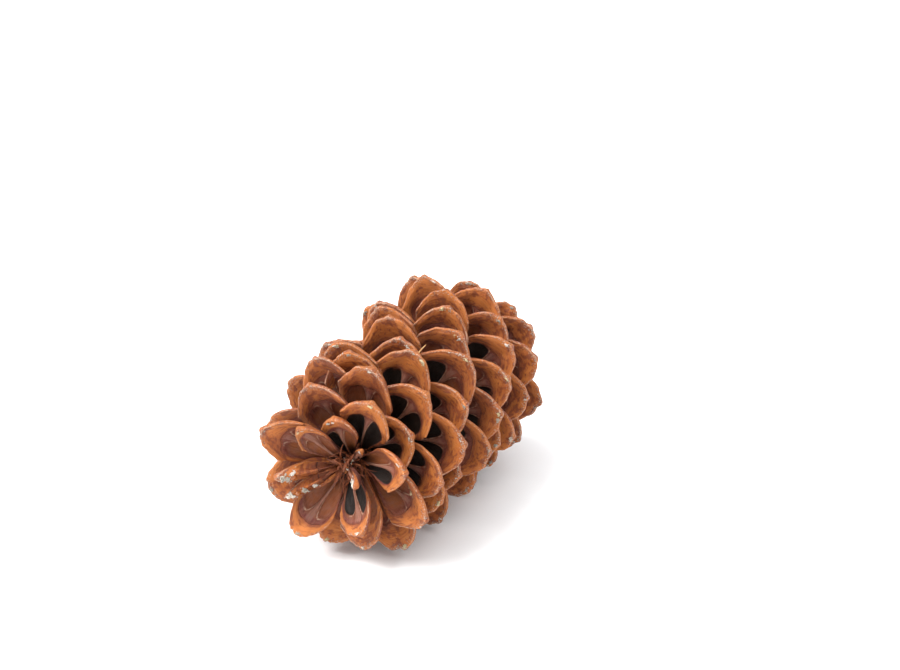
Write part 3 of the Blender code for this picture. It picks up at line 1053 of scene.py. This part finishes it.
def crumble(shape, spec, along, across, size, draw):
    """Crumbs of resin in a patch of a scale's upper face, larger ones in its middle."""
    wide = spec["half_width"] / MM
    for _ in range(round(FEWEST_CRUMBS + CRUMBS_A_MM * size)):
        off = [draw.gauss(0, spread) for spread in CRUMB_SPREAD]
        here = min(along + off[0] * size * MM / spec["length"], FURTHEST_ALONG)
        beside = min(max(across + off[1] * size / wide, -FURTHEST_ACROSS), FURTHEST_ACROSS)
        at, normal = scale_spot(spec, here, beside, draw.uniform(-CRUMB_LIFT, CRUMB_LIFT) * size)
        lump = draw.uniform(*CRUMB_SIZES) * size * MM * (CRUMB_MIDDLE - min(1.0, math.hypot(*off)))
        if at.z > 2 * lump:
            tilt = Vector([draw.uniform(-CRUMB_TILT, CRUMB_TILT) for _ in range(3)])
            add_lump(shape, at, (normal + tilt).normalized(), lump, draw.uniform(*CRUMB_FLATNESS), draw, 1)


def make_resin(kind, specs):
    """The resin of one kind, as one piece: patches seen in the photo, and dust on other tips."""
    draw = random.Random(SEED + 1 + RESIN_KINDS.index(kind))
    shape = bmesh.new()
    for number, along, across, size, crust in CRUSTS:
        if crust != kind:
            continue
        if kind == "amber":
            at, normal = scale_spot(specs[number], along, across, 0.0)
            add_lump(shape, at, normal, size * MM / 2, DROP_FLATNESS, draw, 3)
        else:
            crumble(shape, specs[number], along, across, size, draw)
    seen = {row[0] for row in CRUSTS}
    for spec in specs:
        if spec["number"] not in seen and kind in DUST_SHARE and draw.random() < DUST_SHARE[kind]:
            crumble(shape, spec, DUST_ALONG, draw.gauss(0, DUST_SPREAD), draw.uniform(*DUST_SIZE), draw)
    for _ in range(CENTRE_LUMPS.get(kind, 0)):
        turn = draw.uniform(0, 2 * math.pi)
        out = draw.uniform(0, CENTRE_REACH)
        height = AXIS_LENGTH - out * CENTRE_FALL
        at = LIES @ Vector((math.cos(turn) * out, math.sin(turn) * out, height))
        upwards = LIES.to_3x3() @ Vector((0, 0, 1))
        add_lump(shape, at, upwards, draw.uniform(*CENTRE_SIZES), CENTRE_FLATNESS, draw, 2)
    name = "resin_" + kind
    mesh = bpy.data.meshes.new(name)
    shape.to_mesh(mesh)
    shape.free()
    return new_object(name, mesh)


def resin_finish(kind, colour, colours):
    """Crumbly and dull where it is dry, smooth and glossy where it is clear amber."""
    made = Finish("resin_" + kind)
    spot = made.own_place()
    patches = made.noise(spot, (300, 300, 300), 2)
    crumbs = made.noise(spot, (1500, 1500, 1500), 4, 0.65)
    if kind == "amber":
        worn = made.mix(made.times(made.fade(crumbs, 0.5, 0.7), 0.3), colour, colours.resin_old)
        gloss = made.blend(crumbs, 0.10, 0.22)
        depth = 0.0002
    else:
        worn = made.mix(made.times(made.fade(patches, 0.50, 0.66), 0.4), colour, colours.resin_old)
        worn = made.coats(worn, (colours.blush, 0.35, crumbs, 0.60, 0.74))
        gloss = made.blend(crumbs, 0.35, 0.7)
        depth = 0.0007
    made.shader.inputs["Subsurface Weight"].default_value = 0.2
    made.shader.inputs["Subsurface Radius"].default_value = (0.002, 0.0012, 0.0008)
    return made.show(worn, gloss, made.relief((crumbs, depth)))


def strip_points(start, heading, side, length, wide, curl, turned):
    """Rings of four points along a dry strip that curls and narrows to its end."""
    points = []
    at = start.copy()
    for step in range(STRIP_STEPS + 1):
        share = step / STRIP_STEPS
        across = Matrix.Rotation(turned * share, 3, heading) @ side
        above = heading.cross(across).normalized()
        bulge = STRIP_ENDS + (1 - STRIP_ENDS) * math.sin(math.pi * share)
        narrowed = (1 - STRIP_NARROWING * share ** 2) * bulge
        half = across * (wide / 2 * narrowed)
        over = above * BRACT_THICKNESS / 2
        points += [at - half - over, at + half - over, at + half + over, at - half + over]
        heading = (Matrix.Rotation(curl / STRIP_STEPS, 3, side) @ heading).normalized()
        at = at + heading * length / STRIP_STEPS
    return points


def make_bracts():
    """Dry curled bits and threads round the blunt end of the axis, in the cone's own frame first."""
    draw = random.Random(SEED + 2)
    points = []
    faces = []
    for number in range(BRACT_COUNT):
        thread = number % 2 == 0
        near = number % 3 != 0
        turn = draw.uniform(0, 2 * math.pi)
        radial = Vector((math.cos(turn), math.sin(turn), 0))
        behind = draw.uniform(*(BRACT_BEHIND if near else BRACT_FAR_BEHIND))
        start = radial * (draw.uniform(*BRACT_OUT) if near else axis_radius(AXIS_LENGTH - behind))
        start.z = AXIS_LENGTH - behind
        heading = (radial * draw.uniform(*BRACT_SLOPES) + Vector((0, 0, 1))).normalized()
        rolled = Matrix.Rotation(draw.uniform(-BRACT_ROLL, BRACT_ROLL), 3, heading)
        side = (rolled @ Vector((-radial.y, radial.x, 0))).normalized()
        length = draw.uniform(*(THREAD_LENGTHS if thread else BRACT_LENGTHS))
        wide = THREAD_WIDTH if thread else draw.uniform(*BRACT_WIDTHS)
        curl = draw.uniform(*BRACT_CURLS)
        turned = draw.uniform(-BRACT_TWIST, BRACT_TWIST)
        faces += [tuple(v + len(points) for v in face) for face in ring_faces(STRIP_STEPS, 4)]
        points += strip_points(start, heading, side, length, wide, curl, turned)
    return new_piece("bract_bits", on_floor(np.array(points)), faces)


def make_needle(specs):
    """The broken end of a dry needle, a little bent and thinner towards its end."""
    number, along, across = NEEDLE_AT
    at, _ = scale_spot(specs[number], along, across, NEEDLE_LIFT)
    run = Vector(NEEDLE_RUN)
    side = run.cross(Vector((0, 0, 1))).normalized()
    above = side.cross(run).normalized()
    points = []
    for step in range(STRIP_STEPS + 1):
        share = step / STRIP_STEPS
        middle = at + run * share + above * NEEDLE_BOW * math.sin(math.pi * share)
        radius = NEEDLE_RADIUS * (1 - NEEDLE_NARROWING * share)
        for corner in range(NEEDLE_SIDES):
            angle = 2 * math.pi * corner / NEEDLE_SIDES
            points.append(middle + (side * math.cos(angle) + above * math.sin(angle)) * radius)
    return new_piece("dry_needle", points, ring_faces(STRIP_STEPS, NEEDLE_SIDES))


def needle_finish(colours):
    """Straw-coloured, with brown streaks."""
    made = Finish("dry_needle")
    streaks = made.noise(made.own_place(), (900, 900, 900), 3)
    colour = made.mix(made.fade(streaks, 0.4, 0.7), colours.needle, colours.lip)
    return made.show(colour, 0.5, made.relief((streaks, 0.0002)))


def make_stalk():
    """A bent twig with furrowed bark and a broken end."""
    points = []
    for row in range(STALK_ROWS + 1):
        share = row / STALK_ROWS
        wide = STALK_RADIUS + (STALK_END_RADIUS - STALK_RADIUS) * abs(2 * share - 1) ** 2
        for column in range(STALK_COLUMNS):
            turn = 2 * math.pi * column / STALK_COLUMNS
            where = Vector((math.cos(turn) * BARK_ROUND, math.sin(turn) * BARK_ROUND, share * BARK_ALONG))
            furrow = abs(noise.noise(where * FURROW_FINE)) + 0.5 * noise.noise(where * FURROW_COARSE)
            radius = wide + BARK_DEPTH * (furrow - FURROW_MIDDLE)
            broken = noise.noise(where * BREAK_PACE + Vector(BREAK_PLACE))
            height = STALK_TOP - STALK_REACH * share - BREAK_DEPTH * broken * share ** BREAK_FALL
            out = STALK_BEND * share ** 2 + math.cos(turn) * radius
            points.append((out, math.sin(turn) * radius, height))
    return new_piece("stalk_bark", on_floor(np.array(points)), ring_faces(STALK_ROWS, STALK_COLUMNS))


def bark_finish(colours):
    """Grey-brown bark with dark furrows along the stalk."""
    made = Finish("stalk_bark")
    spot = made.own_place()
    furrows = made.noise(spot, (120, 700, 700), 4, 0.6)
    patches = made.noise(spot, (200, 200, 200), 3)
    colour = made.mix(made.fade(furrows, 0.40, 0.62), colours.bark_dark, colours.bark)
    colour = made.coats(colour, (colours.blade, 0.5, patches, 0.5, 0.7))
    return made.show(colour, made.blend(furrows, 0.9, 0.7), made.relief((furrows, 0.001)))


def floor_finish(colours):
    """Plain and pale, with a faint unevenness."""
    made = Finish("pale_floor")
    grain = made.noise(made.own_place(), (3, 3, 3), 2)
    return made.show(made.mix(made.times(grain, 0.03), colours.floor, (1.0, 1.0, 1.0)), 0.9)


def tilted(direction):
    """The rotation of a camera that looks in a direction and leans a little to the left."""
    return direction.to_track_quat("-Z", "Y") @ Quaternion((0, 0, 1), CAMERA_TILT)


def camera_directions():
    """Unit vectors to the back of the camera, to the picture's right and up it."""
    back = Vector((
        math.sin(CAMERA_AZIMUTH) * math.cos(CAMERA_ELEVATION),
        -math.cos(CAMERA_AZIMUTH) * math.cos(CAMERA_ELEVATION),
        math.sin(CAMERA_ELEVATION),
    ))
    facing = tilted(-back)
    return back, facing @ Vector((1, 0, 0)), facing @ Vector((0, 1, 0))


def seen_middle():
    """The place on the axis that stands at SEEN_AT in the picture."""
    return LIES @ Vector((0, 0, AXIS_LENGTH - SEEN_BEHIND_TIP))


def add_sun(name, place, strength, spread):
    """A broad light, as even as a large soft box far away."""
    back, right, _ = camera_directions()
    middle = seen_middle()
    at = middle + right * place[0] + Vector((0, 0, 1)) * place[1] + back * place[2]
    data = bpy.data.lights.new(name, "SUN")
    data.angle = spread
    data.energy = strength
    lamp = new_object(name, data)
    lamp.location = at
    lamp.rotation_mode = "QUATERNION"
    lamp.rotation_quaternion = (middle - at).to_track_quat("-Z", "Y")


def add_camera():
    """The camera, at the angle of the photo and with its frame."""
    back, right, up = camera_directions()
    middle = seen_middle()
    data = bpy.data.cameras.new("camera")
    camera = new_object("camera", data)
    camera.location = middle + back * CAMERA_DISTANCE
    aim = middle + right * (PICTURE_WIDTH / 2 - SEEN_AT[0]) * METRES_A_PIXEL
    aim += up * (SEEN_AT[1] - PICTURE_HEIGHT / 2) * METRES_A_PIXEL
    camera.rotation_mode = "QUATERNION"
    camera.rotation_quaternion = tilted(aim - camera.location)
    data.sensor_width = SENSOR_WIDTH
    data.lens = SENSOR_WIDTH * CAMERA_DISTANCE / (PICTURE_WIDTH * METRES_A_PIXEL)
    bpy.context.scene.camera = camera


def colour_property(name, description, default):
    """A colour that the user can change."""
    return FloatVectorProperty(
        name=name, description=description, default=default, subtype="COLOR", min=0, max=1, size=3)


def length_property(name, description, default):
    """A length that the user can change."""
    return FloatProperty(
        name=name, description=description, default=default, subtype="DISTANCE", unit="LENGTH", min=0)


class ConeSizes(bpy.types.PropertyGroup):
    rows: IntProperty(name="Rows", description="Points along a scale", default=48, min=12)
    columns: IntProperty(name="Columns", description="Points across a scale", default=43, min=9)
    crescent_width: length_property("Crescent width", "Width of the orange edge at the tip", 0.0128)
    mauve_width: length_property("Mauve width", "Width of the mauve band inside it", 0.0060)
    under_width: length_property("Swelling length", "How far the tan swelling reaches underneath", 0.019)
    lip_height: length_property("Lip height", "How far the orange edge swells", 0.0007)
    bed_depth: length_property("Bed depth", "How far the seed beds are sunk", 0.0009)
    ridge_height: length_property("Ridge height", "Height of the ridge between the beds", 0.0009)
    keel_height: length_property("Keel height", "Height of the keel under the tip", 0.0008)
    umbo_height: length_property("Umbo height", "Height of the knob at the tip", 0.0009)
    dent_depth: length_property("Dent depth", "Height of the uneven dents of a scale", 0.00018)


class ConeColours(bpy.types.PropertyGroup):
    lip: colour_property("Lip", "Orange edge of a scale", (0.47, 0.145, 0.033))
    lip_deep: colour_property("Deep lip", "Darker orange of the edge", (0.34, 0.092, 0.022))
    lip_pale: colour_property("Pale lip", "Paler lines of the edge", (0.50, 0.190, 0.055))
    scuff: colour_property("Scuff", "Worn rim", (0.56, 0.37, 0.26))
    stain: colour_property("Stain", "Red-brown stains of the edge", (0.155, 0.038, 0.017))
    blush: colour_property("Blush", "Pink tan of the edge", (0.26, 0.072, 0.030))
    mauve: colour_property("Mauve", "Band inside the edge", (0.150, 0.032, 0.022))
    mauve_deep: colour_property("Deep mauve", "Streaks of the band", (0.078, 0.017, 0.010))
    # Painted shade for the crease between the orange edge and the band.
    crease: colour_property("Crease", "Line between edge and band", (0.055, 0.010, 0.004))
    blade: colour_property("Blade", "Inner blade", (0.18, 0.050, 0.018))
    blade_dark: colour_property("Dark blade", "Streaks of the inner blade", (0.100, 0.024, 0.009))
    # Painted shade: near black, for the depths by the axis where the scales leave it.
    root: colour_property("Root", "Where a scale leaves the axis", (0.020, 0.005, 0.002))
    bed_orange: colour_property("Orange bed", "Bare seed bed", (0.22, 0.066, 0.015))
    bed_brown: colour_property("Brown bed", "Darker bare seed bed", (0.130, 0.032, 0.009))
    # Partly the wing's dark skin, partly painted shade of the sunk bed.
    bed_dark: colour_property("Dark bed", "Seed bed with the wing's skin", (0.010, 0.0055, 0.0035))
    bed_streak: colour_property("Bed streaks", "Streaks of the dark bed", (0.028, 0.014, 0.009))
    membrane: colour_property("Membrane", "Pale skin on the ridge", (0.32, 0.165, 0.120))
    under: colour_property("Under side", "Tan swelling underneath", (0.37, 0.122, 0.034))
    under_dark: colour_property("Dark under side", "Behind the swelling", (0.055, 0.013, 0.007))
    bloom: colour_property("Bloom", "Grey bloom underneath", (0.19, 0.076, 0.052))
    resin: colour_property("Resin", "White crusts", (0.66, 0.60, 0.52))
    resin_yellow: colour_property("Yellow resin", "Yellow-white crusts", (0.60, 0.50, 0.28))
    resin_grey: colour_property("Grey resin", "Grey crusts", (0.38, 0.34, 0.28))
    resin_old: colour_property("Old resin", "Dirty crusts", (0.30, 0.22, 0.15))
    amber: colour_property("Amber", "Clear drops", (0.28, 0.075, 0.012))
    bract: colour_property("Bract", "Bits round the axis", (0.25, 0.064, 0.019))
    bark: colour_property("Bark", "Stalk", (0.22, 0.145, 0.10))
    bark_dark: colour_property("Dark bark", "Cracks of the stalk", (0.06, 0.035, 0.022))
    needle: colour_property("Needle", "Fallen needle", (0.60, 0.36, 0.14))
    floor: colour_property("Floor", "Surface below the cone", (0.97, 0.97, 0.97))


class ConeStage(bpy.types.PropertyGroup):
    key_strength: FloatProperty(
        name="Key light", description="Strength of the broad light", default=5.5, min=0)
    key_spread: FloatProperty(
        name="Key spread", description="How broad the light is", default=math.radians(45), subtype="ANGLE")
    fill_strength: FloatProperty(
        name="Fill light", description="Strength of the front light", default=1.1, min=0)
    sky: FloatProperty(name="Sky", description="Strength of the light all round", default=0.88, min=0)
    floor_size: length_property("Floor size", "Side of the floor", 6.0)


class CONE_OT_scales(bpy.types.Operator):
    """Add the scales between two numbers of the spiral"""

    bl_idname = "cone.scales"
    bl_label = "Scales"
    bl_options = {"REGISTER", "UNDO"}

    name: StringProperty(name="Name", description="Name of the piece", default="scales")
    first: IntProperty(name="First", description="First scale, from the foot", default=0, min=0)
    last: IntProperty(name="Last", description="The scale after the last one", default=27, max=SCALE_COUNT)

    def execute(self, context):
        sizes = context.scene.cone_sizes
        made = make_scales(self.name, self.first, self.last, sizes)
        for finish in scale_finishes(sizes, context.scene.cone_colours):
            made.data.materials.append(finish)
        finish_piece(made, "cone_scales", "cone")
        return {"FINISHED"}


class CONE_OT_axis(bpy.types.Operator):
    """Add the woody axis that carries the scales"""

    bl_idname = "cone.axis"
    bl_label = "Axis"
    bl_options = {"REGISTER", "UNDO"}

    def execute(self, context):
        made = make_axis()
        # 0.8 of painted shade, as the axis lies deep among the scales.
        made.data.materials.append(bract_finish("axis_skin", context.scene.cone_colours, 0.8))
        finish_piece(made, "cone_scales", "cone")
        return {"FINISHED"}


class CONE_OT_bits(bpy.types.Operator):
    """Add the dry bits round the end of the axis and the fallen needle"""

    bl_idname = "cone.bits"
    bl_label = "Dry Bits"
    bl_options = {"REGISTER", "UNDO"}

    def execute(self, context):
        colours = context.scene.cone_colours
        made = make_bracts()
        made.data.materials.append(bract_finish("bract", colours, 0.0))
        finish_piece(made, "cone_scales")
        made = make_needle(scale_specs())
        made.data.materials.append(needle_finish(colours))
        finish_piece(made, "cone_scales")
        return {"FINISHED"}


class CONE_OT_resin(bpy.types.Operator):
    """Add the dried resin on the scale tips"""

    bl_idname = "cone.resin"
    bl_label = "Resin"
    bl_options = {"REGISTER", "UNDO"}

    def execute(self, context):
        colours = context.scene.cone_colours
        shades = (colours.resin, colours.resin_yellow, colours.resin_grey, colours.amber)
        specs = scale_specs()
        for kind, shade in zip(RESIN_KINDS, shades):
            made = make_resin(kind, specs)
            made.data.materials.append(resin_finish(kind, shade, colours))
            finish_piece(made, "cone_scales")
        return {"FINISHED"}


class CONE_OT_stalk(bpy.types.Operator):
    """Add the stub of the stalk"""

    bl_idname = "cone.stalk"
    bl_label = "Stalk"
    bl_options = {"REGISTER", "UNDO"}

    def execute(self, context):
        made = make_stalk()
        made.data.materials.append(bark_finish(context.scene.cone_colours))
        finish_piece(made, "stalk_bark", "stalk")
        return {"FINISHED"}


class CONE_OT_stage(bpy.types.Operator):
    """Add the floor, the lights and the camera"""

    bl_idname = "cone.stage"
    bl_label = "Stage"
    bl_options = {"REGISTER", "UNDO"}

    def execute(self, context):
        stage = context.scene.cone_stage
        half = stage.floor_size / 2
        mesh = bpy.data.meshes.new("floor")
        mesh.from_pydata(
            [(-half, -half, 0), (half, -half, 0), (half, half, 0), (-half, half, 0)], [], [(0, 1, 2, 3)])
        mesh.materials.append(floor_finish(context.scene.cone_colours))
        new_object("floor", mesh)
        add_camera()
        add_sun("key", KEY_FROM, stage.key_strength, stage.key_spread)
        add_sun("fill", FILL_FROM, stage.fill_strength, stage.key_spread)
        world = bpy.data.worlds.new("soft_room")
        context.scene.world = world
        world.use_nodes = True
        light = world.node_tree.nodes["Background"]
        light.inputs["Color"].default_value = SKY_COLOUR
        light.inputs["Strength"].default_value = stage.sky
        context.scene.view_settings.view_transform = "Standard"
        return {"FINISHED"}


class CONE_PT_panel(bpy.types.Panel):
    """Lists the makers of the cone's pieces"""

    bl_label = "Sugar Pine Cone"
    bl_idname = "CONE_PT_panel"
    bl_space_type = "VIEW_3D"
    bl_region_type = "UI"
    bl_category = "Cone"

    def draw(self, context):
        layout = self.layout
        for operator in OPERATORS:
            layout.operator(operator.bl_idname)
        for group in (context.scene.cone_sizes, context.scene.cone_colours, context.scene.cone_stage):
            box = layout.box()
            for key in group.__annotations__:
                box.prop(group, key)


GROUPS = {"cone_sizes": ConeSizes, "cone_colours": ConeColours, "cone_stage": ConeStage}
OPERATORS = (
    CONE_OT_scales, CONE_OT_axis, CONE_OT_bits, CONE_OT_resin, CONE_OT_stalk, CONE_OT_stage,
)


def register():
    for group in GROUPS.values():
        bpy.utils.register_class(group)
    for name, group in GROUPS.items():
        setattr(bpy.types.Scene, name, PointerProperty(type=group))
    for operator in OPERATORS:
        bpy.utils.register_class(operator)
    bpy.utils.register_class(CONE_PT_panel)


def unregister():
    bpy.utils.unregister_class(CONE_PT_panel)
    for operator in reversed(OPERATORS):
        bpy.utils.unregister_class(operator)
    for name in GROUPS:
        delattr(bpy.types.Scene, name)
    for group in GROUPS.values():
        bpy.utils.unregister_class(group)


def main():
    register()
    bpy.ops.cone.axis()
    for name, (first, last) in SCALE_GROUPS.items():
        bpy.ops.cone.scales(name=name, first=first, last=last)
    bpy.ops.cone.bits()
    bpy.ops.cone.resin()
    bpy.ops.cone.stalk()
    bpy.ops.cone.stage()


if __name__ == "__main__":
    main()
